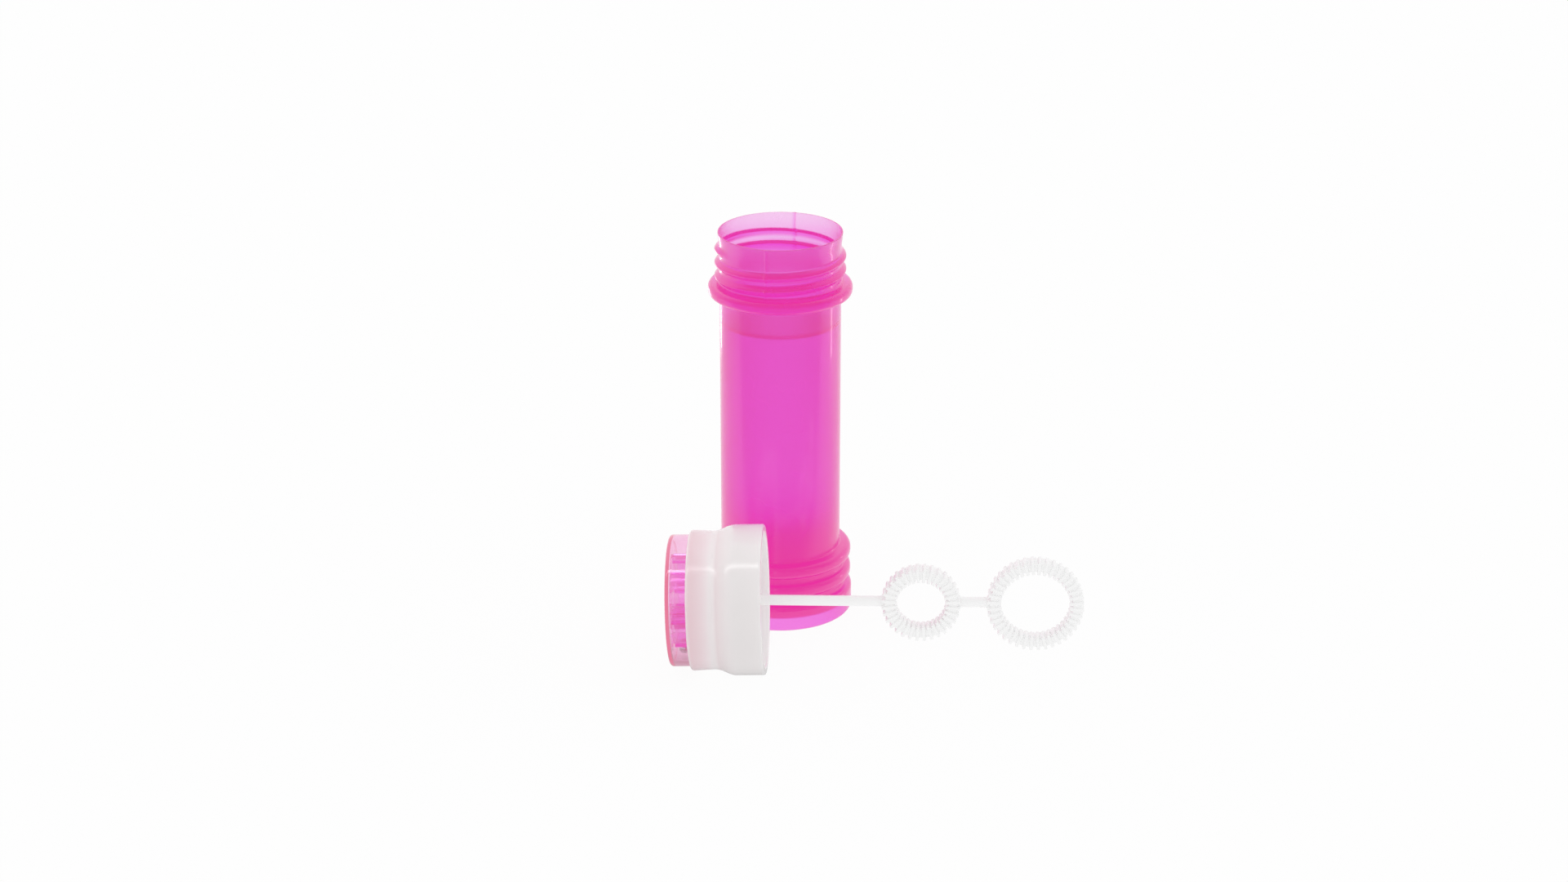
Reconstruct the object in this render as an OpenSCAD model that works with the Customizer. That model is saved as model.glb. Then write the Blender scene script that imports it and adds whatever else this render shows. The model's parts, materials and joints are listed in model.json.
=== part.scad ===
// Bubble bottle set, opened for use: a transparent tube bottle, and its screw cap taken off.
// The cap carries a ball maze under a clear cover at its closed end, and a two-ring bubble wand in its open end.
// Frame: millimetres, +Z up, origin at the centre of the bottle's foot on the table.
// The cap lies on its side in front of the bottle (towards -Y), with its wand pointing to +X.

/* [Bottle] */
// Height from the table to the lip
bottle_h = 103.6; // [90:0.1:130]
// Outer radius of the straight tube
body_r = 15.6; // [13:0.1:19]
// Thickness of the tube's wall
body_wall = 1.1; // [0.8:0.05:1.6]
// Thickness of the neck's wall under its thread
neck_wall = 1.5; // [1.2:0.05:1.8]
// Height of the neck above the bead
neck_h = 13.3; // [11:0.1:16]
// Rounding of the lip's outer edge
lip_round = 0.5; // [0.3:0.05:0.6]
// Height of the thread's crest above the neck, for the cap's clearance
thread_h = 0.95; // [0.7:0.05:1.3]

/* [Bead under the neck] */
// How far the bead stands out from the tube
bead_proud = 2.95; // [2:0.05:4]
// Thickness of the bead
bead_t = 3.4; // [2.4:0.05:4]
// Rounding of the bead's edge
bead_round = 1.5; // [0.8:0.05:1.6]

/* [Ribbed foot] */
// How far the ribs stand out from the tube
rib_proud = 2.9; // [2:0.05:3.6]
// Number of ribs above the foot
rib_count = 2; // [1:1:3]
// Height from one rib's crest to the next
rib_pitch = 5.5; // [4.5:0.05:7]
// Height of the straight foot under the ribs
foot_h = 5; // [4:0.1:6]
// Radius of a rib's round section
rib_round = 1.65; // [1.2:0.05:2]
// Depth of the valleys between the ribs
rib_depth = 1.6; // [0.8:0.05:2]
// How much wider the foot is than the ribs
foot_flare = 0.3; // [0:0.02:0.8]
// Rounding of the foot's lower edge
foot_round = 0.6; // [0.4:0.05:1]
// Width of the ring that the bottle stands on, with its rounding
foot_ring_w = 1.4; // [1.1:0.05:2.4]
// Depth of the hollow under the foot
foot_hollow_h = 3.4; // [2:0.1:5]
// Thickness of the bottle's floor
floor_t = 1.3; // [1:0.05:2]

/* [Cap shell] */
// Clearance between the cap's bore and the neck's thread
thread_clearance = 0.3; // [0.2:0.05:0.6]
// Thickness of the skirt's wall at the open rim
skirt_wall = 1.8; // [1.3:0.05:2.2]
// Gap left between the cap's rim and the bead when the cap is closed
rim_gap = 1.6; // [0.3:0.05:2.4]
// Height of the wide band round the open rim
band_h = 6.4; // [4:0.1:9]
// Height of the slope above the band
slope_h = 2; // [1:0.1:3]
// How much narrower the upper part is than the band
slope_in = 0.4; // [0.2:0.05:0.9]
// Thickness of the disc between the screw space and the game
web_t = 1.5; // [1:0.1:2.4]
// Depth of the seat that the game is pressed into
seat_h = 4.6; // [3.5:0.1:6]
// Thickness of the seat's wall
seat_wall = 1.95; // [1.4:0.05:2.4]
// Rounding of the shoulder
shoulder_round = 0.8; // [0.3:0.05:1.1]

/* [Wand socket in the cap] */
// Outer radius of the socket
socket_r = 4; // [3.4:0.1:5]
// Length of the socket
socket_h = 5.5; // [4:0.1:7]
// Depth left free above the plug
socket_spare = 0.5; // [0.3:0.1:1]

/* [Seal] */
// Thickness of the sealing washer
seal_t = 1; // [0.6:0.1:1.6]
// Overlap of the washer inside the bottle's lip
seal_lap = 0.6; // [0.3:0.1:1.2]
// Gap between the washer's edge and the skirt
seal_gap = 0.25; // [0.15:0.05:0.5]

/* [Ball game] */
// Gap between the game and its seat
game_fit = 0.05; // [0.03:0.01:0.1]
// Height of the clear cover
lens_h = 5.2; // [4.4:0.1:7]
// Thickness of the cover's face
lens_face_t = 0.9; // [0.8:0.05:1.4]
// Thickness of the cover's wall
lens_wall = 1.2; // [0.8:0.05:1.6]
// Rounding of the cover's outer edge
lens_round = 0.9; // [0.4:0.05:1]
// Thickness of the tray's floor
tray_floor_t = 1.2; // [0.8:0.1:1.8]
// Thickness of the tray's skirt
tray_wall = 1.3; // [0.9:0.1:1.8]
// Gap between the maze walls and the cover
maze_gap = 0.3; // [0.2:0.05:0.5]
// Thickness of the maze walls
maze_wall = 0.9; // [0.6:0.05:1.1]
// Radius of the steel ball
ball_r = 1.5; // [1.2:0.05:1.6]
// Clearance between the ball and the walls of its track
ball_gap = 0.3; // [0.25:0.05:0.4]

/* [Wand] */
// Radius of the stem
stem_r = 1.33; // [1:0.02:1.7]
// Radius of the plug in the cap
plug_r = 2.2; // [1.8:0.05:2.6]
// Gap between the plug and its socket
plug_fit = 0.05; // [0.03:0.01:0.1]
// Radius of the collar that stops the plug
collar_r = 3.2; // [2.8:0.1:3.8]
// Thickness of the collar
collar_t = 1.2; // [0.8:0.1:2]
// How far the stem hangs out of line with the cap, in degrees
stem_lean = 1.3; // [0:0.1:1.8]
// Gap between the wand's tip and the bottle's floor when the cap is closed
tip_gap = 7.1; // [3:0.1:12]
// Distance between the centres of the two rings
ring_spacing = 28.7; // [25:0.1:34]
// Clearance of the large ring in the bottle's bore
ring_clearance = 2.35; // [1.6:0.05:3.5]
// Outer radius of the small ring
small_ring_r = 9.9; // [8.5:0.1:11]
// Width of the large ring, from its hole to its edge
large_ring_w = 3.5; // [2.6:0.05:4]
// Width of the small ring, from its hole to its edge
small_ring_w = 3.75; // [2.6:0.05:4]
// Thickness of the disc at the back of a ring, which carries the fins
ring_web_t = 1.2; // [0.8:0.05:2]
// How far the fins reach past the edges of that disc
fin_proud = 0.75; // [0.3:0.05:0.9]
// Depth of a ring with its fins
ring_depth = 5; // [4:0.1:6]
// Thickness of a fin
fin_t = 0.8; // [0.5:0.05:0.9]
// Number of fins on the large ring
large_fins = 40; // [28:1:44]
// Number of fins on the small ring
small_fins = 32; // [22:1:34]

/* [Place of the cap on the table] */
// Gap between the bottle's foot and the cap, seen from above
cap_gap = 2.6; // [1.5:0.1:10]
// Place of the cap's open rim along X
cap_x = -3.8; // [-20:0.1:10]
// Turn of the cap towards the front, in degrees
cap_turn = 2.9; // [0:0.1:10]

/* [Hidden] */
$fn = 96;

// Bottle radii and heights
bore_r = body_r - body_wall;
neck_r = bore_r + neck_wall;
thread_r = neck_r + thread_h;
bead_top_z = bottle_h - neck_h;
bead_z = bead_top_z - bead_t;
rib_r = body_r + rib_proud;
valley_r = rib_r - rib_depth;
foot_r = rib_r + foot_flare;
top_rib_z = foot_h + rib_count * rib_pitch;
foot_hollow_r = foot_r - foot_ring_w;
floor_z = foot_hollow_h + floor_t;

// Cap heights, from the open rim (0) up to the closed end, as when it sits on the bottle
skirt_r = thread_r + thread_clearance;
rim_r = skirt_r + skirt_wall;
shoulder_r = rim_r - slope_in;
lip_seat_z = neck_h - rim_gap;
web_z = lip_seat_z + seal_t;
seat_z = web_z + web_t;
shell_h = seat_z + seat_h;
seat_r = shoulder_r - seat_wall;

// Game
game_r = seat_r - game_fit;
lens_in_r = game_r - lens_wall;
cover_z = shell_h + lens_h - lens_face_t;
track_w = 2 * (ball_r + ball_gap);
track_r = lens_in_r - track_w / 2;
ball_z = (shell_h + cover_z) / 2;
maze_h = cover_z - maze_gap - shell_h;
outer_wall_r = lens_in_r - track_w;
inner_wall_r = outer_wall_r - maze_wall - track_w;
goal_r = inner_wall_r - maze_wall - track_w;
gap_w = track_w + 2 * ball_gap;
// Directions of the gaps in each round wall and of the walls across the tracks, in degrees
outer_gaps = [25, 100, 155, 220, 295, 340];
inner_gaps = [60, 180, 300];
goal_gaps = [120];
outer_baffles = [5, 75, 130, 200, 265];
inner_baffles = [30, 150, 240];

// Wand, below the open rim
collar_z = web_z - socket_h;
stem_z = collar_z - collar_t;
plug_h = socket_h - socket_spare;
large_ring_r = bore_r - ring_clearance;
wand_reach = bead_top_z + rim_gap - floor_z - tip_gap;
large_ring_z = large_ring_r - wand_reach;
small_ring_z = large_ring_z + ring_spacing;

// The cap rests on its band's upper edge and on its shoulder, which sets its tilt and the height of its open rim
contact_h = shell_h - shoulder_round - band_h;
cap_tilt = atan(slope_in / contact_h);
cap_y = -(foot_r + cap_gap + rim_r);
cap_z = rim_r * cos(cap_tilt) + band_h * sin(cap_tilt);

cut = 1;
clear_pink = [0.91, 0.28, 0.74, 0.55];
milky_white = [0.93, 0.92, 0.92, 0.9];
wand_white = [0.96, 0.96, 0.96];
foam_white = [0.98, 0.97, 0.95];
steel_grey = [0.72, 0.73, 0.75];

// Disc whose outer edges are rounded at the foot and at the top
module rounded_disc(r, h, foot_e, top_e) {
    rotate_extrude()
        difference() {
            square([r, h]);
            if (foot_e > 0)
                outer_corner(r, 0, foot_e, 1);
            if (top_e > 0)
                outer_corner(r, h, top_e, -1);
        }
}

// What a rounding takes off an outer corner of a half section; way is 1 at the foot and -1 at the top
module outer_corner(r, z, e, way) {
    translate([r - e, z + way * e])
        difference() {
            translate([0, way > 0 ? -e - cut : 0])
                square([e + cut, e + cut]);
            circle(e);
        }
}

// Ring of round section whose outside reaches radius r
module round_rib(r, z, section_r) {
    translate([0, 0, z])
        rotate_extrude()
            translate([r - section_r, 0])
                circle(section_r);
}

// The bottle's outside: straight tube, neck with its lip, bead, and ribbed foot
module bottle_outside() {
    cylinder(r = body_r, h = bead_top_z);
    translate([0, 0, bead_z]) {
        rounded_disc(neck_r, bottle_h - bead_z, 0, lip_round);
        rounded_disc(body_r + bead_proud, bead_t, bead_round, bead_round);
    }
    rounded_disc(foot_r, foot_h + rib_round, foot_round, rib_round);
    cylinder(r = valley_r, h = top_rib_z);
    for (i = [1 : rib_count])
        round_rib(rib_r, foot_h + i * rib_pitch, rib_round);
}

module bottle() {
    color(clear_pink)
        difference() {
            bottle_outside();
            translate([0, 0, floor_z])
                cylinder(r = bore_r, h = bottle_h);
            translate([0, 0, -cut])
                cylinder(r = foot_hollow_r, h = foot_hollow_h + cut);
        }
}

// Lays the cap on the table: its axis turns down to +X, tilts on its two supports and turns to the front
module laid_down() {
    translate([cap_x, cap_y, cap_z])
        rotate([0, 0, -cap_turn])
            rotate([0, -(90 + cap_tilt), 0])
                children();
}

module cap_shell() {
    color(milky_white)
        laid_down() {
            difference() {
                union() {
                    cylinder(r = rim_r, h = band_h);
                    translate([0, 0, band_h])
                        cylinder(r1 = rim_r, r2 = shoulder_r, h = slope_h);
                    rounded_disc(shoulder_r, shell_h, 0, shoulder_round);
                }
                translate([0, 0, -cut])
                    cylinder(r = skirt_r, h = web_z + cut);
                translate([0, 0, seat_z])
                    cylinder(r = seat_r, h = seat_h + cut);
            }
            difference() {
                translate([0, 0, collar_z])
                    cylinder(r = socket_r, h = socket_h + web_t / 2);
                translate([0, 0, collar_z - cut])
                    cylinder(r = plug_r + plug_fit, h = plug_h + socket_spare + cut);
            }
        }
}

// Foam washer between the bottle's lip and the disc in the cap
module seal_ring() {
    color(foam_white)
        laid_down()
            translate([0, 0, lip_seat_z])
                difference() {
                    cylinder(r = skirt_r - seal_gap, h = seal_t);
                    translate([0, 0, -cut])
                        cylinder(r = bore_r - seal_lap, h = seal_t + 2 * cut);
                }
}

// Round maze wall with gaps for the ball
module round_wall(r, gaps) {
    difference() {
        circle(r);
        circle(r - maze_wall);
        for (a = gaps)
            rotate(a)
                translate([0, -gap_w / 2])
                    square([r + cut, gap_w]);
    }
}

// Straight maze walls across the track between two round walls
module baffles(r_in, r_out, directions) {
    for (a = directions)
        rotate(a)
            translate([r_in - maze_wall / 2, -maze_wall / 2])
                square([r_out - r_in, maze_wall]);
}

module maze_plan() {
    round_wall(outer_wall_r, outer_gaps);
    round_wall(inner_wall_r, inner_gaps);
    round_wall(goal_r, goal_gaps);
    baffles(inner_wall_r, outer_wall_r, outer_baffles);
    baffles(goal_r, inner_wall_r, inner_baffles);
}

// Maze pressed into the cap's seat: an upturned cup whose floor carries the walls
module game_tray() {
    color(clear_pink)
        laid_down()
            translate([0, 0, seat_z]) {
                difference() {
                    cylinder(r = game_r, h = seat_h);
                    translate([0, 0, -cut])
                        cylinder(r = game_r - tray_wall, h = seat_h - tray_floor_t + cut);
                }
                translate([0, 0, seat_h - tray_floor_t / 2])
                    linear_extrude(height = maze_h + tray_floor_t / 2)
                        maze_plan();
            }
}

// Clear cover over the maze
module game_lens() {
    color(clear_pink)
        laid_down()
            translate([0, 0, shell_h])
                difference() {
                    rounded_disc(game_r, lens_h, 0, lens_round);
                    translate([0, 0, -cut])
                        cylinder(r = lens_in_r, h = lens_h - lens_face_t + cut);
                }
}

// Steel ball at the lowest point of the outer track
module game_ball() {
    color(steel_grey)
        laid_down()
            translate([-track_r, 0, ball_z])
                sphere(ball_r);
}

// Bubble ring round a hole: a thin disc at the back, with fins across its front that hold the liquid
module finned_ring(r, w, fins) {
    rotate([90, 0, 0])
        translate([0, 0, -ring_depth / 2]) {
            linear_extrude(height = ring_web_t)
                difference() {
                    circle(r - fin_proud);
                    circle(r - w + fin_proud);
                }
            translate([0, 0, ring_web_t / 2])
                linear_extrude(height = ring_depth - ring_web_t / 2)
                    for (i = [0 : fins - 1])
                        rotate((i + 0.5) * 360 / fins)
                            translate([r - w, -fin_t / 2])
                                square([w, fin_t]);
        }
}

// Stretch of the stem between two heights
module stem_part(low_z, high_z) {
    translate([0, 0, low_z])
        cylinder(r = stem_r, h = high_z - low_z);
}

module wand() {
    color(wand_white)
        laid_down() {
            translate([0, 0, collar_z])
                cylinder(r = plug_r, h = plug_h);
            translate([0, 0, stem_z])
                cylinder(r = collar_r, h = collar_t);
            translate([0, 0, stem_z])
                rotate([0, stem_lean, 0])
                    translate([0, 0, -stem_z]) {
                        stem_part(small_ring_z + small_ring_r - small_ring_w / 2, stem_z + collar_t / 2);
                        stem_part(large_ring_z + large_ring_r - large_ring_w / 2,
                                  small_ring_z - small_ring_r + small_ring_w / 2);
                        translate([0, 0, small_ring_z])
                            finned_ring(small_ring_r, small_ring_w, small_fins);
                        translate([0, 0, large_ring_z])
                            finned_ring(large_ring_r, large_ring_w, large_fins);
                    }
        }
}

bottle();
cap_shell();
seal_ring();
game_tray();
game_lens();
game_ball();
wand();
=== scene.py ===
import json
import math

import bmesh
import bpy
from mathutils import Matrix, Vector


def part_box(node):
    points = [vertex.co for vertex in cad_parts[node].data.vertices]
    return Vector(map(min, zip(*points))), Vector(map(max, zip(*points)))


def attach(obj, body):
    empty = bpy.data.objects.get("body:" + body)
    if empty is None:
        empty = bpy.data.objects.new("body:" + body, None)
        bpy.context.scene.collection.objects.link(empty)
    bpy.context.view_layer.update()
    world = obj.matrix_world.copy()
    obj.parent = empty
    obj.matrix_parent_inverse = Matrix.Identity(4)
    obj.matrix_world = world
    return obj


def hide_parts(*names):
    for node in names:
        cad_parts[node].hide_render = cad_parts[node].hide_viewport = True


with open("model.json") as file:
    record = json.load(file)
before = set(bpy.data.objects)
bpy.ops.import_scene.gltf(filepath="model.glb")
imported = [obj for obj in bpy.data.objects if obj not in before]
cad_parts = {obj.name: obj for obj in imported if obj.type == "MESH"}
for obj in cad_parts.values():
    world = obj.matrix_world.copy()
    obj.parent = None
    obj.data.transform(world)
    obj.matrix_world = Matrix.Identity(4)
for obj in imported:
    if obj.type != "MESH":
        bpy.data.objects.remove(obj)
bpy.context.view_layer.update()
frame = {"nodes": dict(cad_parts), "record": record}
record = frame["record"]
mounts = {mount["name"]: mount["dims"] for mount in record["mounts"]}
MM = 0.001
TAU = 2 * math.pi
# points closer together than this, in metres, count as one
TINY = 1e-6

# Bottle
# One moulding of transparent magenta plastic: a straight tube with a screw neck, a bead under it, and two
# ribs over a straight foot with a hollow under it. The bead and the ribs are solid, and deeper in colour.

bottle_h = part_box("bottle")[1][2]
foot_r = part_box("bottle")[1][0]
bore_r = mounts["neck_bore"]["r_mm"] * MM
floor_z = bottle_h - mounts["neck_bore"]["length_mm"] * MM
hollow_r = mounts["foot_recess"]["r_mm"] * MM
hollow_h = mounts["foot_recess"]["length_mm"] * MM
bottle_columns = 240

body_r = bore_r + 1.1 * MM
neck_r = bore_r + 1.5 * MM
neck_h = 13.3 * MM
waist_r = neck_r - 0.35 * MM
mouth_r = neck_r - 0.36 * MM
flare_h = 4 * MM
lip_round = 0.2 * MM
mouth_round = 0.4 * lip_round
neck_top_z = bottle_h - 2 * lip_round
neck_steps = 80

waist_in_r = waist_r - 0.5 * MM
thin_wall_r = body_r - 0.74 * MM
thin_wall_z = 79.5 * MM
thin_wall_run = 1.4 * MM
thick_neck_r = bore_r - 0.4 * MM
thick_neck_z = bottle_h - 10 * MM
neck_run = 4 * MM
inside_steps = 110
floor_round_h = 34 * MM
floor_bend = 2.6
floor_steps = 60

bead_r = body_r + 2.95 * MM
bead_t = 3.4 * MM
bead_top_z = bottle_h - neck_h
bead_z = bead_top_z - bead_t / 2
rib_r = foot_r - 0.3 * MM
rib_t = 3.3 * MM
rib_pitch = 5.5 * MM
rib_count = 2
valley_r = rib_r - 1.6 * MM
ring_taper = 0.25 * MM
ring_fillet = 0.6 * MM
ring_edge_share = 0.95
foot_h = 5 * MM
foot_round = 0.6 * MM
foot_shoulder_round = 0.4 * rib_t
hollow_edge_round = 0.25 * MM
hollow_round = 0.6 * MM

thread_h = 1.2 * MM
thread_half_w = 1.5 * MM
thread_pitch = 3.53 * MM
thread_turns = 2.6
thread_run_out = 0.1
thread_start_z = bottle_h - 13.4 * MM
thread_follow = 0.2
parting_angle = math.radians(77)
parting_w = 0.3 * MM
parting_h = 0.38 * MM
parting_on_thread = 0.15

arc_end_share = 0.1
moulded_sharp = math.radians(55)

# the tint takes the green out of the light first, and the painted glow, light put into the plastic itself, is
# the colour of a thick piece
bottle_tint = (0.43, 0.047, 0.785)
tint_density = 1290
painted_thick_glow = (0.83, 0.028, 0.35)
plastic_ior = 1.5
bottle_rough = (0.26, 0.32)
bottle_specular = 0.35
# the smooth outer skin gives narrow highlights
skin_weight = 0.5
skin_rough = 0.03


def fade(value):
    """Smooth step from 0 to 1."""
    value = min(max(value, 0), 1)
    return value * value * (3 - 2 * value)


def steps(start, end, count):
    """Evenly spaced values from the start on, without the end."""
    return [start + (end - start) * i / count for i in range(count)]


def thread_bulge(angle, z, start_z, turns):
    """Height of a right-handed thread of round section, which runs out at both ends."""
    turn = round((z - start_z) / thread_pitch - angle / TAU)
    along = turn + angle / TAU
    off = abs(z - start_z - along * thread_pitch)
    if off > thread_half_w or not 0 < along < turns:
        return 0
    section = math.cos(off / thread_half_w * math.pi / 2) ** 2
    return thread_h * section * fade(along / thread_run_out) * fade((turns - along) / thread_run_out)


def neck_relief(angle, radius, z):
    """Thread and the two parting lines of the mould on the neck; the inside follows the thread by a share."""
    if z < bead_top_z or radius > neck_r + ring_fillet:
        return 0
    relief = thread_bulge(angle, z, thread_start_z, thread_turns)
    if radius < waist_r - TINY:
        return thread_follow * relief * fade((z - bead_top_z) / thread_half_w)
    for side in (0, math.pi):
        off = math.remainder(angle - parting_angle - side, TAU) * radius
        relief += (parting_h + parting_on_thread * relief) * math.exp(-(off / parting_w) ** 2)
    return relief


def flange(high_r, crest_r, low_r, middle_z, thickness):
    """Corners, from the top down, of a ring with a round edge, a little taper and fillets at its root."""
    crest_half = thickness / 2 - ring_taper
    root_half = thickness / 2 + ring_taper
    edge = crest_half * ring_edge_share
    return [
        (high_r, middle_z + root_half, ring_fillet),
        (crest_r, middle_z + crest_half, edge),
        (crest_r, middle_z - crest_half, edge),
        (low_r, middle_z - root_half, ring_fillet),
    ]


def bore_outline(spread):
    """The bottle's inside from its floor's centre up to its straight wall, spread outwards by a little."""
    points = []
    for i in range(floor_steps + 1):
        turn = math.pi / 2 * i / floor_steps
        r = (bore_r + spread) * math.sin(turn) ** (2 / floor_bend)
        z = floor_z + floor_round_h - (floor_round_h + spread) * math.cos(turn) ** (2 / floor_bend)
        points.append((r, z))
    return points


def inside_r(z):
    """Radius of the inside: the wall is thin over the liquid, thick at the bead and thin again to the lip."""
    over_liquid = (thin_wall_r - bore_r) * fade((z - thin_wall_z) / thin_wall_run)
    over_liquid *= fade((bead_top_z - z) / bead_t)
    bead = (thick_neck_r - bore_r) * fade((z - bead_z) / bead_t)
    neck = (waist_in_r - thick_neck_r) * fade((z - thick_neck_z) / neck_run)
    lip = (mouth_r - waist_in_r) * fade((z - bottle_h + flare_h) / flare_h)
    return bore_r + over_liquid + bead + neck + lip


def outside_r(z):
    """Radius of the neck's outside, which widens from its waist to the lip."""
    return waist_r + (neck_r - waist_r) * fade((z - bottle_h + flare_h) / flare_h)


def softened(corners, arc_steps=6):
    """An outline whose corners (radius, height, rounding) are rounded, each within its own two sides."""
    points = []
    for i, (r, z, rounding) in enumerate(corners):
        if rounding <= 0 or i in (0, len(corners) - 1):
            points.append((r, z))
            continue
        here = Vector((r, z))
        back = Vector(corners[i - 1][:2]) - here
        ahead = Vector(corners[i + 1][:2]) - here
        half = back.angle(ahead) / 2
        back.normalize()
        ahead.normalize()
        reach = rounding / math.tan(half)
        middle = here + (back + ahead).normalized() * (rounding / math.sin(half))
        first = here + back * reach - middle
        last = here + ahead * reach - middle
        sweep = first.angle_signed(last)
        # a row close beside each end of the arc keeps the long sides next to it flat in the light
        beside = reach + arc_end_share * rounding
        points.append(tuple(here + back * beside))
        for step in range(arc_steps + 1):
            spoke = first.copy()
            spoke.rotate(Matrix.Rotation(-sweep * step / arc_steps, 2))
            points.append(tuple(middle + spoke))
        points.append(tuple(here + ahead * beside))
    return points


def turned(outline, columns, relief=None):
    """A mesh of revolution about Z from (radius, height) points; relief(angle, r, z) adds to the radius."""
    shape = bmesh.new()
    rings = []
    for radius, height in outline:
        if radius < TINY:
            rings.append([shape.verts.new((0, 0, height))] * columns)
            continue
        ring = []
        for i in range(columns):
            angle = TAU * i / columns
            reach = radius + (relief(angle, radius, height) if relief else 0)
            ring.append(shape.verts.new((reach * math.cos(angle), reach * math.sin(angle), height)))
        rings.append(ring)
    for low, high in zip(rings, rings[1:]):
        for i in range(columns):
            j = (i + 1) % columns
            corners = list(dict.fromkeys((low[i], low[j], high[j], high[i])))
            if len(corners) > 2:
                shape.faces.new(corners)
    return shape


def finished(name, shape, material, place=None):
    """An object from a bmesh, with smooth faces and normals that point outwards."""
    bmesh.ops.recalc_face_normals(shape, faces=shape.faces)
    if shape.calc_volume(signed=True) < 0:
        bmesh.ops.reverse_faces(shape, faces=shape.faces)
    mesh = bpy.data.meshes.new(name)
    shape.to_mesh(mesh)
    shape.free()
    mesh.shade_smooth()
    mesh.set_sharp_from_angle(angle=moulded_sharp)
    mesh.materials.append(material)
    piece = bpy.data.objects.new(name, mesh)
    bpy.context.scene.collection.objects.link(piece)
    if place:
        piece.matrix_world = place
    return piece


def node_material(name):
    """A new material with its nodes, its links and its Principled shader."""
    material = bpy.data.materials.new(name)
    material.use_nodes = True
    nodes = material.node_tree.nodes
    return material, nodes, material.node_tree.links, nodes["Principled BSDF"]


def moulding_marks_group():
    """Marks of a moulded skin: a roughness that wanders, and the faint waves and orange peel of the mould."""
    wave_detail = 3
    wave_low, wave_high = 0.35, 0.65
    peel_detail = 1
    peel_share = 0.15
    group = bpy.data.node_groups.new("Moulding marks", "ShaderNodeTree")
    for socket in ("Roughness Low", "Roughness High", "Wave Scale", "Peel Scale"):
        group.interface.new_socket(socket, in_out="INPUT", socket_type="NodeSocketFloat")
    for socket in ("Roughness", "Height"):
        group.interface.new_socket(socket, in_out="OUTPUT", socket_type="NodeSocketFloat")
    nodes, links = group.nodes, group.links
    inputs = nodes.new("NodeGroupInput")
    outputs = nodes.new("NodeGroupOutput")
    place = nodes.new("ShaderNodeTexCoord")
    wave = nodes.new("ShaderNodeTexNoise")
    peel = nodes.new("ShaderNodeTexNoise")
    for noise, scale, detail in ((wave, "Wave Scale", wave_detail), (peel, "Peel Scale", peel_detail)):
        noise.inputs["Detail"].default_value = detail
        links.new(place.outputs["Object"], noise.inputs["Vector"])
        links.new(inputs.outputs[scale], noise.inputs["Scale"])
    spread = nodes.new("ShaderNodeMapRange")
    spread.inputs["From Min"].default_value = wave_low
    spread.inputs["From Max"].default_value = wave_high
    links.new(wave.outputs["Fac"], spread.inputs["Value"])
    links.new(inputs.outputs["Roughness Low"], spread.inputs["To Min"])
    links.new(inputs.outputs["Roughness High"], spread.inputs["To Max"])
    links.new(spread.outputs["Result"], outputs.inputs["Roughness"])
    height = nodes.new("ShaderNodeMath")
    height.operation = "MULTIPLY_ADD"
    height.inputs[1].default_value = peel_share
    links.new(peel.outputs["Fac"], height.inputs[0])
    links.new(wave.outputs["Fac"], height.inputs[2])
    links.new(height.outputs["Value"], outputs.inputs["Height"])
    return group


moulding_marks = moulding_marks_group()


def add_marks(nodes, links, shader, rough, wave_scale, peel_scale, bump_strength, bump_height):
    """Places the moulding marks in a material: rough is the range of its roughness."""
    marks = nodes.new("ShaderNodeGroup")
    marks.node_tree = moulding_marks
    marks.inputs["Roughness Low"].default_value = rough[0]
    marks.inputs["Roughness High"].default_value = rough[1]
    marks.inputs["Wave Scale"].default_value = wave_scale
    marks.inputs["Peel Scale"].default_value = peel_scale
    bump = nodes.new("ShaderNodeBump")
    bump.inputs["Strength"].default_value = bump_strength
    bump.inputs["Distance"].default_value = bump_height
    links.new(marks.outputs["Height"], bump.inputs["Height"])
    links.new(bump.outputs["Normal"], shader.inputs["Normal"])
    links.new(marks.outputs["Roughness"], shader.inputs["Roughness"])


def clear_plastic(name, tint, density, glow, rough):
    """Transparent plastic whose colour deepens with its thickness, and which glows with painted light, so
    that a thick piece shows the glow's colour.
    """
    material, nodes, links, shader = node_material(name)
    shader.inputs["Base Color"].default_value = (1, 1, 1, 1)
    shader.inputs["Transmission Weight"].default_value = 1
    shader.inputs["IOR"].default_value = plastic_ior
    add_marks(
        nodes, links, shader, rough, wave_scale=45, peel_scale=700, bump_strength=0.015, bump_height=0.02 * MM
    )
    depth = nodes.new("ShaderNodeVolumeAbsorption")
    depth.inputs["Color"].default_value = (*tint, 1)
    depth.inputs["Density"].default_value = density
    # painted glow: the plastic gives off light in its own colour, in proportion to its density
    painted_glow = nodes.new("ShaderNodeEmission")
    painted_glow.inputs["Color"].default_value = (*(g * (1 - t) for g, t in zip(glow, tint)), 1)
    painted_glow.inputs["Strength"].default_value = density
    both = nodes.new("ShaderNodeAddShader")
    links.new(depth.outputs["Volume"], both.inputs[0])
    links.new(painted_glow.outputs["Emission"], both.inputs[1])
    links.new(both.outputs["Shader"], nodes["Material Output"].inputs["Volume"])
    return material


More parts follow.
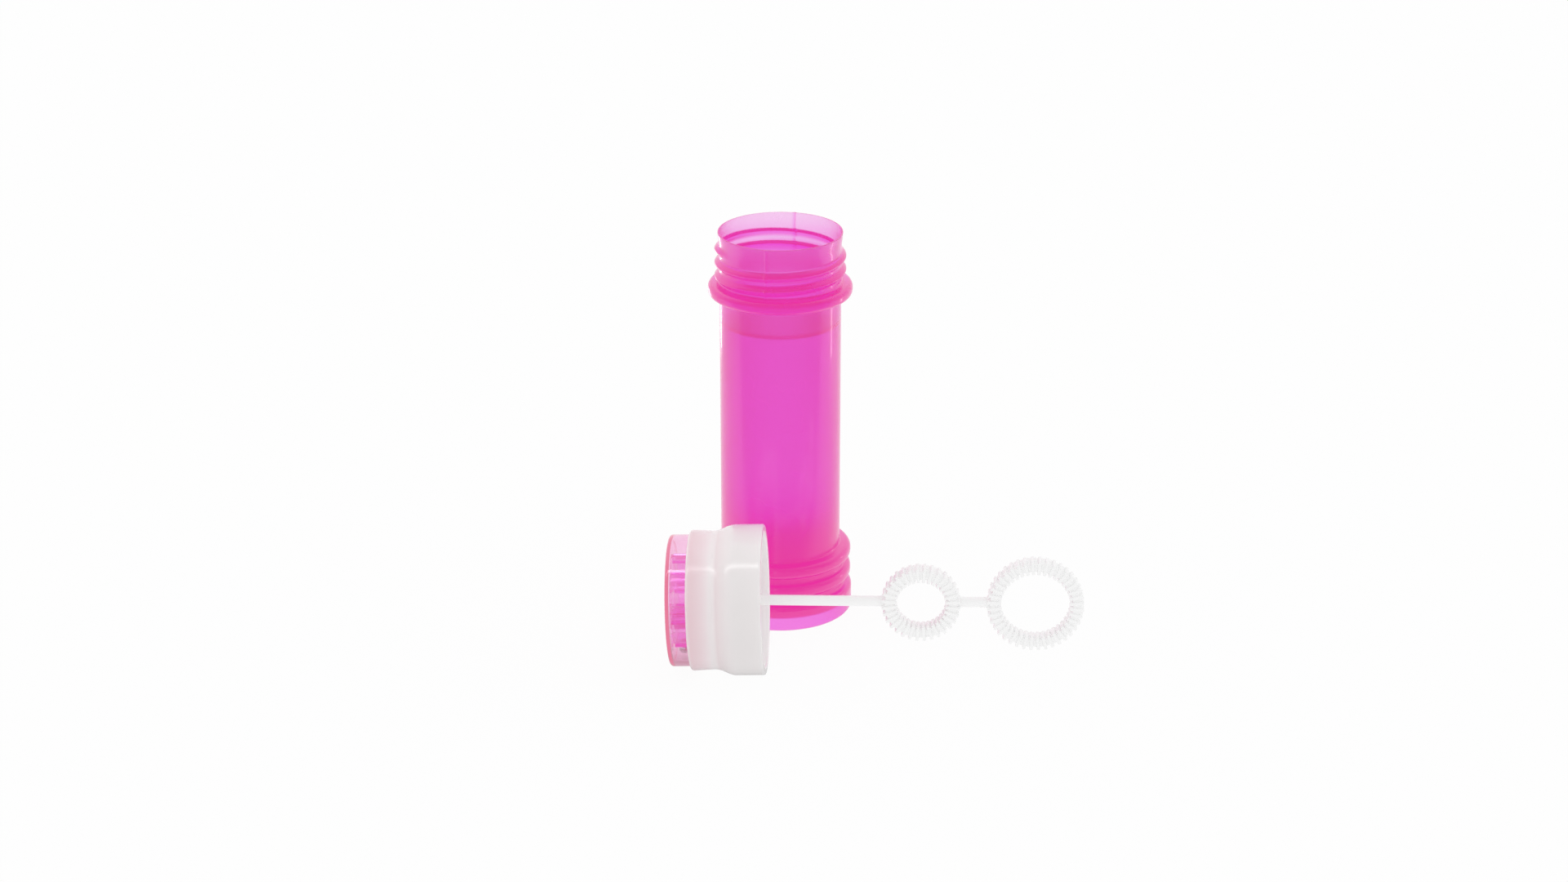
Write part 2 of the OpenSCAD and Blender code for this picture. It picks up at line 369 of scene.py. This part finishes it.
bottle_corners = [
    *((inside_r(z), z, 0) for z in steps(thin_wall_z, neck_top_z, inside_steps)),
    (mouth_r, bottle_h, mouth_round),
    (neck_r, bottle_h, lip_round),
    *((outside_r(z), z, 0) for z in steps(neck_top_z, bead_top_z + 2 * ring_fillet, neck_steps)),
    *flange(waist_r, bead_r, body_r, bead_z, bead_t),
]
for i in range(rib_count, 0, -1):
    above_r = body_r if i == rib_count else valley_r
    bottle_corners += flange(above_r, rib_r, valley_r, foot_h + i * rib_pitch, rib_t)
bottle_corners += [
    (valley_r, foot_h + rib_t / 2 + ring_taper, ring_fillet),
    (foot_r, foot_h + rib_t / 2 - ring_taper, foot_shoulder_round),
    (foot_r, 0, foot_round),
    (hollow_r, 0, hollow_edge_round),
    (hollow_r, hollow_h, hollow_round),
    (0, hollow_h, 0),
]
bottle_outline = bore_outline(0) + softened(bottle_corners)

bottle_plastic = clear_plastic("bottle plastic", bottle_tint, tint_density, painted_thick_glow, bottle_rough)
bottle_shader = bottle_plastic.node_tree.nodes["Principled BSDF"]
bottle_shader.inputs["Specular IOR Level"].default_value = bottle_specular
bottle_shader.inputs["Coat Weight"].default_value = skin_weight
bottle_shader.inputs["Coat Roughness"].default_value = skin_rough

bottle = finished("bottle_tube", turned(bottle_outline, bottle_columns, neck_relief), bottle_plastic)
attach(bottle, "bottle")
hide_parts("bottle")

# Bubble liquid
# A filling of clear soapy water, up to a little under the bead. It wets the wall and climbs it slightly,
# and it takes away the dark edge that the empty part of the tube shows.

liquid_z = 78.8 * MM
liquid_climb = 0.8 * MM
climb_w = 1.6 * MM
liquid_overlap = 0.02 * MM
liquid_r = bore_r + liquid_overlap
surface_steps = 24
liquid_columns = 160

water_rough = 0.3
water_ior = 1.335


def liquid_surface(r):
    """Height of the liquid's surface, which rises towards the wall."""
    return liquid_z + liquid_climb * math.exp((r - bore_r) / climb_w)


surface = [(r, liquid_surface(r)) for r in steps(liquid_r, 0, surface_steps)]
liquid_outline = bore_outline(liquid_overlap) + surface + [(0, liquid_surface(0))]

soapy_water, _, _, shader = node_material("soapy water")
shader.inputs["Base Color"].default_value = (1, 1, 1, 1)
shader.inputs["Roughness"].default_value = water_rough
shader.inputs["Transmission Weight"].default_value = 1
shader.inputs["IOR"].default_value = water_ior

liquid = finished("bubble_liquid", turned(liquid_outline, liquid_columns), soapy_water)
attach(liquid, "bottle")

# Cap shell
# Screw cap moulded in natural milky plastic, taken off and laid on its side. It has a wide band at its rim,
# a thread inside, a disc with a socket for the wand, and a seat for the game at its closed end.

ball_roll = next(joint for joint in record["behaviour"]["joints"] if joint["name"] == "ball_roll")
cap_axis = Vector(ball_roll["axis"]).normalized()
cap_up = Vector((0, 0, 1))
cap_up = (cap_up - cap_axis * cap_up.dot(cap_axis)).normalized()
cap_side = cap_axis.cross(cap_up)
cap_place = Matrix((cap_up, cap_side, cap_axis)).transposed().to_4x4()
cap_place.translation = Vector(ball_roll["pos_m"])
cap_columns = 200

skirt_r = neck_r + 1.25 * MM
skirt_edge_round = 0.4 * MM
skirt_end = 0.9 * MM
skirt_steps = 60
rim_r = skirt_r + 1.8 * MM
rim_round = 0.5 * MM
shoulder_r = rim_r - 1.25 * MM
shoulder_round = 0.8 * MM
cap_waist_r = shoulder_r - 0.35 * MM
band_h = 8.2 * MM
slope_h = 3.6 * MM
slope_round = 5.5 * MM
lip_seat_z = neck_h - 1.6 * MM
seal_t = 1 * MM
web_z = lip_seat_z + seal_t
web_round = 0.5 * MM
seat_z = web_z + 1.5 * MM
seat_h = 4.6 * MM
shell_h = seat_z + seat_h
seat_r = shoulder_r - 1.1 * MM
seat_round = 0.3 * MM
seat_edge_round = 0.25 * MM
crown_r = skirt_r - 0.85 * MM
crown_z = 8.6 * MM
crown_run = 1.8 * MM
socket_r = 4 * MM
socket_h = 5.5 * MM
socket_root_round = 0.6 * MM
socket_edge_round = 0.3 * MM
collar_z = web_z - socket_h
plug_r = 2.2 * MM
plug_fit = 0.05 * MM
plug_hole_round = 0.2 * MM
cap_thread_turns = 1.4
cap_thread_z = 2.2 * MM
cap_thread_share = 0.8

milk_white = (0.775, 0.75, 0.75)
painted_game_pink = (0.77, 0.62, 0.65)
painted_inside_light = (0.93, 0.92, 0.92)
milk_ior = 1.49
milk_scatter = 0.6
milk_scatter_reach = 3 * MM
# the game's pink light, painted into the cap's colour, shines through the closed end between these heights
white_z = seat_z - 8 * MM
pink_z = seat_z + 2 * MM
# the skirt's inside is painted lighter than its outside, painted light for the light that reaches it, and the
# change lies within the wall
light_in_r = skirt_r + 0.1 * MM
plain_out_r = skirt_r + 0.5 * MM


def skirt_relief(angle, radius, z):
    """Thread inside the skirt."""
    if abs(radius - skirt_r) > TINY:
        return 0
    return -cap_thread_share * thread_bulge(angle, z, cap_thread_z, cap_thread_turns)


def skirt_in_r(z):
    """Radius of the skirt's inside, which is narrower above the thread."""
    return skirt_r + (crown_r - skirt_r) * fade((z - crown_z) / crown_run)


cap_outline = softened([
    (0, seat_z, 0),
    (seat_r, seat_z, seat_round),
    (seat_r, shell_h, seat_edge_round),
    (shoulder_r, shell_h, shoulder_round),
    (cap_waist_r, band_h + slope_h, slope_round),
    (rim_r, band_h, slope_round),
    (rim_r, 0, rim_round),
    (skirt_r, 0, skirt_edge_round),
    *((skirt_in_r(z), z, 0) for z in steps(skirt_end, web_z - skirt_end, skirt_steps)),
    (crown_r, web_z, web_round),
    (socket_r, web_z, socket_root_round),
    (socket_r, collar_z, socket_edge_round),
    (plug_r + plug_fit, collar_z, plug_hole_round),
    (plug_r + plug_fit, web_z, plug_hole_round),
    (0, web_z, 0),
])

milky_plastic, nodes, links, shader = node_material("milky plastic")
add_marks(
    nodes, links, shader, rough=(0.14, 0.2), wave_scale=30, peel_scale=600, bump_strength=0.06,
    bump_height=0.04 * MM,
)
shader.inputs["IOR"].default_value = milk_ior
shader.inputs["Subsurface Weight"].default_value = milk_scatter
shader.inputs["Subsurface Radius"].default_value = (1, 1, 1)
shader.inputs["Subsurface Scale"].default_value = milk_scatter_reach
place = nodes.new("ShaderNodeTexCoord")
apart = nodes.new("ShaderNodeSeparateXYZ")
behind = nodes.new("ShaderNodeMapRange")
behind.interpolation_type = "SMOOTHSTEP"
behind.inputs["From Min"].default_value = white_z
behind.inputs["From Max"].default_value = pink_z
# painted pink light from the game, towards the closed end
painted_pink_mix = nodes.new("ShaderNodeMix")
painted_pink_mix.data_type = "RGBA"
painted_pink_mix.inputs["A"].default_value = (*milk_white, 1)
painted_pink_mix.inputs["B"].default_value = (*painted_game_pink, 1)
links.new(place.outputs["Object"], apart.inputs["Vector"])
links.new(apart.outputs["Z"], behind.inputs["Value"])
links.new(behind.outputs["Result"], painted_pink_mix.inputs["Factor"])
across = nodes.new("ShaderNodeCombineXYZ")
reach = nodes.new("ShaderNodeVectorMath")
reach.operation = "LENGTH"
inside = nodes.new("ShaderNodeMapRange")
inside.inputs["From Min"].default_value = plain_out_r
inside.inputs["From Max"].default_value = light_in_r
# painted light on the skirt's inside
painted_inside_mix = nodes.new("ShaderNodeMix")
painted_inside_mix.data_type = "RGBA"
painted_inside_mix.inputs["B"].default_value = (*painted_inside_light, 1)
links.new(apart.outputs["X"], across.inputs["X"])
links.new(apart.outputs["Y"], across.inputs["Y"])
links.new(across.outputs["Vector"], reach.inputs[0])
links.new(reach.outputs["Value"], inside.inputs["Value"])
links.new(inside.outputs["Result"], painted_inside_mix.inputs["Factor"])
links.new(painted_pink_mix.outputs["Result"], painted_inside_mix.inputs["A"])
links.new(painted_inside_mix.outputs["Result"], shader.inputs["Base Color"])

cap_shape = turned(cap_outline, cap_columns, skirt_relief)
cap_shell = finished("cap_shell_moulding", cap_shape, milky_plastic, cap_place)
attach(cap_shell, "cap")
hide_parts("cap_shell")

# Seal ring
# Washer stamped from white foam and pushed into the cap against its disc. The bottle's lip presses on it
# when the cap is screwed down, so that the liquid stays in.

seal_out_r = crown_r - 0.2 * MM
seal_in_r = bore_r - 0.6 * MM
seal_round = 0.2 * MM
seal_columns = 120

foam_white = (0.86, 0.85, 0.82)


def closed_ring(outline, columns):
    """A ring of revolution: the outline comes back to its first point."""
    shape = turned(outline + outline[:1], columns)
    bmesh.ops.remove_doubles(shape, verts=shape.verts, dist=TINY)
    return shape


seal_outline = softened([
    (seal_in_r, lip_seat_z + seal_t / 2, 0),
    (seal_in_r, lip_seat_z, seal_round),
    (seal_out_r, lip_seat_z, seal_round),
    (seal_out_r, web_z, seal_round),
    (seal_in_r, web_z, seal_round),
    (seal_in_r, lip_seat_z + seal_t / 2, 0),
])[:-1]

foam, nodes, links, shader = node_material("white foam")
add_marks(
    nodes, links, shader, rough=(0.75, 0.9), wave_scale=200, peel_scale=2500, bump_strength=0.5,
    bump_height=0.06 * MM,
)
shader.inputs["Base Color"].default_value = (*foam_white, 1)

seal = finished("seal_washer", closed_ring(seal_outline, seal_columns), foam, cap_place)
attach(seal, "cap")
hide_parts("seal_ring")

# Ball game
# A transparent magenta maze pressed into the cap's closed end, with a clear cover of the same colour over it
# and a steel ball between them. The maze and the ball keep their own solids and only get their materials.

lens_h = 5.2 * MM
lens_face_t = 0.9 * MM
lens_wall = 1.2 * MM
lens_round = 0.9 * MM
lens_in_round = 0.4 * MM
lens_foot_round = 0.1 * MM
lens_lift = 0.02 * MM
lens_columns = 200
game_r = seat_r - 0.05 * MM
lens_in_r = game_r - lens_wall

cover_tint = (0.42, 0.047, 0.53)
# the cover's glow is painted light in its own colour, as in the bottle
cover_glow = (0.82, 0.2, 0.33)
cover_density = 290
maze_density = 420
game_rough = (0.02, 0.06)
steel_grey = (0.72, 0.73, 0.75)

lens_outline = softened([
    (0, shell_h + lens_h, 0),
    (game_r, shell_h + lens_h, lens_round),
    (game_r, shell_h + lens_lift, lens_foot_round),
    (lens_in_r, shell_h + lens_lift, lens_foot_round),
    (lens_in_r, shell_h + lens_h - lens_face_t, lens_in_round),
    (0, shell_h + lens_h - lens_face_t, 0),
])

cover_plastic = clear_plastic("cover plastic", cover_tint, cover_density, cover_glow, game_rough)
maze_plastic = clear_plastic("maze plastic", bottle_tint, maze_density, painted_thick_glow, game_rough)
steel, nodes, links, shader = node_material("polished steel")
add_marks(
    nodes, links, shader, rough=(0.05, 0.16), wave_scale=900, peel_scale=4000, bump_strength=0.05,
    bump_height=0.005 * MM,
)
shader.inputs["Base Color"].default_value = (*steel_grey, 1)
shader.inputs["Metallic"].default_value = 1

lens = finished("game_cover", turned(lens_outline, lens_columns), cover_plastic, cap_place)
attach(lens, "cap")
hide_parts("game_lens")
for node_name, material in (("game_tray", maze_plastic), ("game_ball", steel)):
    node_mesh = frame["nodes"][node_name].data
    node_mesh.materials.clear()
    node_mesh.materials.append(material)

# Wand
# White moulding pressed into the cap's socket: plug, collar, a thin stem and two rings. Each ring is a flat
# band crossed by fins that stand out at its edges and front and hold the liquid. The soft stem hangs a bit.

stem_r = 1.33 * MM
stem_swell = 0.45 * MM
stem_swell_run = 2.2 * MM
stem_steps = 40
stem_columns = 48
stem_root = 1.9 * MM
stem_lean = math.radians(1.3)
collar_t = 1.2 * MM
stem_z = collar_z - collar_t
stem_top_z = stem_z + collar_t / 2
collar_r = 3.2 * MM
collar_round = 0.3 * MM
collar_back_round = 0.2 * MM
plug_h = socket_h - 0.5 * MM
plug_tip_round = 0.5 * MM
plug_root_round = 0.1 * MM
plug_columns = 64
large_ring_r = bore_r - 2.35 * MM
small_ring_r = 9.9 * MM
ring_spacing = 28.7 * MM
wand_reach = bottle_h - lip_seat_z - floor_z - 7.1 * MM
large_ring_z = large_ring_r - wand_reach
small_ring_z = large_ring_z + ring_spacing
ring_depth = 5 * MM
ring_columns = 160
ring_web_t = 4.6 * MM
ring_web_round = 0.25 * MM
ring_web_arc_steps = 3
fin_proud = 0.75 * MM
fin_depth = 3.9 * MM
fin_t = 0.8 * MM
fin_round = 0.16 * MM
fin_arc_steps = 2
fin_sharp = math.radians(40)
# outer radius, width, height on the stem and number of fins
rings = (
    (small_ring_r, 3.75 * MM, small_ring_z, 32),
    (large_ring_r, 3.5 * MM, large_ring_z, 40),
)

wand_white = (0.985, 0.985, 0.985)


def stood_up(shape, z):
    """Turns a flat ring into the plane of the stem, at a height on it."""
    bmesh.ops.rotate(shape, verts=shape.verts, matrix=Matrix.Rotation(math.pi / 2, 3, "X"))
    bmesh.ops.translate(shape, verts=shape.verts, vec=(0, 0, z))
    return shape


def ring_web(radius, width, z):
    """The flat band of a ring, which carries its fins."""
    inner, outer = radius - width + fin_proud, radius - fin_proud
    back, front = -ring_depth / 2, ring_web_t - ring_depth / 2
    middle = (back + front) / 2
    outline = softened([
        (inner, middle, 0),
        (inner, back, ring_web_round),
        (outer, back, ring_web_round),
        (outer, front, ring_web_round),
        (inner, front, ring_web_round),
        (inner, middle, 0),
    ], ring_web_arc_steps)[:-1]
    return stood_up(closed_ring(outline, ring_columns), z)


def ring_fins(radius, width, z, count):
    """The fins of a ring: plates with rounded edges, set across its band."""
    shape = bmesh.new()
    middle = (radius - width / 2, 0, (ring_depth - fin_depth) / 2)
    for i in range(count):
        plate = bmesh.ops.create_cube(shape, size=1)["verts"]
        bmesh.ops.scale(shape, verts=plate, vec=(width, fin_t, fin_depth))
        bmesh.ops.translate(shape, verts=plate, vec=middle)
        bmesh.ops.rotate(shape, verts=plate, matrix=Matrix.Rotation((i + 0.5) * TAU / count, 3, "Z"))
    edges = list(shape.edges)
    bmesh.ops.bevel(shape, geom=edges, offset=fin_round, segments=fin_arc_steps, profile=0.5, affect="EDGES")
    return stood_up(shape, z)


def stem_stretch(low_z, high_z):
    """A stretch of the stem, with a little swelling where it runs into a ring."""
    sides = []
    for z in steps(low_z, high_z, stem_steps) + [high_z]:
        to_end = min(z - low_z, high_z - z)
        sides.append((stem_r + stem_swell * fade(1 - to_end / stem_swell_run), z))
    return turned([(0, low_z)] + sides + [(0, high_z)], stem_columns)


def joined(shapes):
    """Several bmeshes in one."""
    whole = bmesh.new()
    for shape in shapes:
        part = bpy.data.meshes.new("part")
        shape.to_mesh(part)
        shape.free()
        whole.from_mesh(part)
        bpy.data.meshes.remove(part)
    return whole


def united(piece, other):
    """Welds another solid to a piece and removes it; corners that fall together are merged."""
    weld = piece.modifiers.new("weld", "BOOLEAN")
    weld.operation = "UNION"
    weld.solver = "EXACT"
    weld.object = other
    whole = bpy.data.meshes.new_from_object(piece.evaluated_get(bpy.context.evaluated_depsgraph_get()))
    piece.modifiers.clear()
    bpy.data.objects.remove(other)
    shape = bmesh.new()
    shape.from_mesh(whole)
    bmesh.ops.remove_doubles(shape, verts=shape.verts, dist=2 * TINY)
    bmesh.ops.dissolve_degenerate(shape, edges=shape.edges, dist=TINY)
    shape.to_mesh(whole)
    shape.free()
    piece.data = whole


plug_shape = turned(softened([
    (0, collar_z + plug_h, 0),
    (plug_r, collar_z + plug_h, plug_tip_round),
    (plug_r, collar_z, plug_root_round),
    (collar_r, collar_z, collar_back_round),
    (collar_r, stem_z, collar_round),
    (0, stem_z, 0),
]), plug_columns)
stem_shapes = [
    stem_stretch(small_ring_z + small_ring_r - stem_root, stem_top_z),
    stem_stretch(large_ring_z + large_ring_r - stem_root, small_ring_z - small_ring_r + stem_root),
]

white_plastic, nodes, links, shader = node_material("white plastic")
add_marks(
    nodes, links, shader, rough=(0.3, 0.42), wave_scale=50, peel_scale=800, bump_strength=0.1,
    bump_height=0.04 * MM,
)
shader.inputs["Base Color"].default_value = (*wand_white, 1)

wand = finished("wand_moulding", plug_shape, white_plastic, cap_place)
for shapes in (
    stem_shapes,
    [ring_web(radius, width, z) for radius, width, z, _ in rings],
    [ring_fins(*ring) for ring in rings],
):
    united(wand, finished("addition", joined(shapes), white_plastic, cap_place))
hang = Matrix.Rotation(stem_lean, 3, "Y")
for vertex in wand.data.vertices:
    if vertex.co.z < stem_z:
        below = Vector((vertex.co.x, vertex.co.y, vertex.co.z - stem_z))
        vertex.co = hang @ below + Vector((0, 0, stem_z))
wand.data.set_sharp_from_angle(angle=fin_sharp)
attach(wand, "cap")
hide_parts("wand")

# Table, light and camera
# A white table that runs out of view in a white room, a lamp above and a narrow one on each side, and the
# camera of the photograph: a long lens that looks down on the set from the front.

table_size = 4.0
table_grey = (0.9, 0.9, 0.9)
table_rough = 0.9
# share of even white in the table where it is seen, and where it only lights the set
table_glow = 0.94
table_bounce = 0.95
# in reflections the table is dimmer towards the camera, like the room there, between these places
front_dim = 0.35
front_y = -0.05
middle_y = -0.028

# strength of the light that falls on the set, and of the room that is seen in reflections
camera_side_lit = 0.9
camera_side_seen = 0.2
far_side_lit = 1
far_side_seen = 1
camera_side_y = -0.4
far_side_y = 0.55

# places and sizes in metres, powers in watts
overhead_place = (-0.4, -0.225, 0.8)
overhead_aim = (-0.4, -0.04, 0.03)
overhead_size = (0.7, 0.07)
overhead_power = 1.1
strip_aim = (0, 0, 0.03)
left_place = (-0.098, 0.162, 0.03)
left_size = (0.02, 0.05)
left_power = 0.014
right_place = (0.179, 0.064, 0.03)
right_size = (0.015, 0.05)
right_power = 0.008

focal_px = 3800
frame_w_px = 1920
sensor_w = 36
camera_distance = 0.8104
camera_elevation = math.radians(22)
camera_aim = Vector((0.935 * MM, 0, 46 * MM))
clear_bounces = 32
diffuse_bounces = 12

scene = bpy.context.scene
backdrop_kinds = ("Is Camera Ray", "Is Transmission Ray")
seen_kinds = (*backdrop_kinds, "Is Glossy Ray")


def either_ray(nodes, links, path, kinds):
    """A value that is 1 for rays of these kinds."""
    total = path.outputs[kinds[0]]
    for kind in kinds[1:]:
        either = nodes.new("ShaderNodeMath")
        either.operation = "MAXIMUM"
        links.new(total, either.inputs[0])
        links.new(path.outputs[kind], either.inputs[1])
        total = either.outputs["Value"]
    return total


table_white, nodes, links, shader = node_material("table white")
shader.inputs["Base Color"].default_value = (*table_grey, 1)
shader.inputs["Roughness"].default_value = table_rough
shader.inputs["Specular IOR Level"].default_value = 0
glow = nodes.new("ShaderNodeEmission")
glow.inputs["Color"].default_value = (1, 1, 1, 1)
path = nodes.new("ShaderNodeLightPath")
share = nodes.new("ShaderNodeMapRange")
share.inputs["To Min"].default_value = table_bounce
share.inputs["To Max"].default_value = table_glow
links.new(either_ray(nodes, links, path, seen_kinds), share.inputs["Value"])
spot = nodes.new("ShaderNodeNewGeometry")
apart = nodes.new("ShaderNodeSeparateXYZ")
towards_camera = nodes.new("ShaderNodeMapRange")
towards_camera.inputs["From Min"].default_value = front_y
towards_camera.inputs["From Max"].default_value = middle_y
towards_camera.inputs["To Min"].default_value = front_dim
reflected = nodes.new("ShaderNodeMapRange")
reflected.inputs["To Min"].default_value = 1
links.new(spot.outputs["Position"], apart.inputs["Vector"])
links.new(apart.outputs["Y"], towards_camera.inputs["Value"])
links.new(path.outputs["Is Glossy Ray"], reflected.inputs["Value"])
links.new(towards_camera.outputs["Result"], reflected.inputs["To Max"])
links.new(reflected.outputs["Result"], glow.inputs["Strength"])
blend = nodes.new("ShaderNodeMixShader")
links.new(share.outputs["Result"], blend.inputs["Fac"])
links.new(shader.outputs["BSDF"], blend.inputs[1])
links.new(glow.outputs["Emission"], blend.inputs[2])
links.new(blend.outputs["Shader"], nodes["Material Output"].inputs["Surface"])

table_shape = bmesh.new()
bmesh.ops.create_grid(table_shape, x_segments=1, y_segments=1, size=table_size / 2)
table = finished("table", table_shape, table_white)

world = bpy.data.worlds.new("studio")
world.use_nodes = True
scene.world = world
nodes, links = world.node_tree.nodes, world.node_tree.links
sky = nodes["Background"]
sky.inputs["Color"].default_value = (1, 1, 1, 1)
path = nodes.new("ShaderNodeLightPath")
direction = nodes.new("ShaderNodeTexCoord")
apart = nodes.new("ShaderNodeSeparateXYZ")
round_room = nodes.new("ShaderNodeMapRange")
round_room.interpolation_type = "SMOOTHSTEP"
round_room.inputs["From Min"].default_value = camera_side_y
round_room.inputs["From Max"].default_value = far_side_y
links.new(direction.outputs["Generated"], apart.inputs["Vector"])
links.new(apart.outputs["Y"], round_room.inputs["Value"])
for end, lit, shown in (
    ("To Min", camera_side_lit, camera_side_seen),
    ("To Max", far_side_lit, far_side_seen),
):
    side = nodes.new("ShaderNodeMapRange")
    side.inputs["To Min"].default_value = lit
    side.inputs["To Max"].default_value = shown
    links.new(path.outputs["Is Glossy Ray"], side.inputs["Value"])
    links.new(side.outputs["Result"], round_room.inputs[end])
# the backdrop itself is white
backdrop = nodes.new("ShaderNodeMapRange")
links.new(either_ray(nodes, links, path, backdrop_kinds), backdrop.inputs["Value"])
links.new(round_room.outputs["Result"], backdrop.inputs["To Min"])
links.new(backdrop.outputs["Result"], sky.inputs["Strength"])


def softbox(name, place, aim, size, power, pieces):
    """A rectangular lamp that faces a point and lights some pieces only."""
    data = bpy.data.lights.new(name, "AREA")
    data.shape = "RECTANGLE"
    data.size, data.size_y = size
    data.energy = power
    lamp = bpy.data.objects.new(name, data)
    lamp.location = place
    lamp.rotation_euler = (Vector(aim) - Vector(place)).to_track_quat("-Z", "Y").to_euler()
    scene.collection.objects.link(lamp)
    lit = bpy.data.collections.new(name)
    for piece in pieces:
        lit.objects.link(piece)
    lamp.light_linking.receiver_collection = lit
    return lamp


softbox("overhead", overhead_place, overhead_aim, overhead_size, overhead_power, (cap_shell, lens))
for strip in (
    softbox("left_strip", left_place, strip_aim, left_size, left_power, (bottle, liquid)),
    softbox("right_strip", right_place, strip_aim, right_size, right_power, (bottle, liquid)),
):
    strip.visible_camera = False
    strip.visible_diffuse = False
    strip.visible_transmission = False

camera_data = bpy.data.cameras.new("camera")
camera_data.sensor_width = sensor_w
camera_data.lens = focal_px / frame_w_px * sensor_w
camera = bpy.data.objects.new("camera", camera_data)
back = Vector((0, -math.cos(camera_elevation), math.sin(camera_elevation)))
camera.location = camera_aim + back * camera_distance
camera.rotation_euler = (math.pi / 2 - camera_elevation, 0, 0)
scene.collection.objects.link(camera)
scene.camera = camera

scene.view_settings.view_transform = "Standard"
scene.cycles.max_bounces = clear_bounces
scene.cycles.transmission_bounces = clear_bounces
scene.cycles.glossy_bounces = clear_bounces
scene.cycles.diffuse_bounces = diffuse_bounces
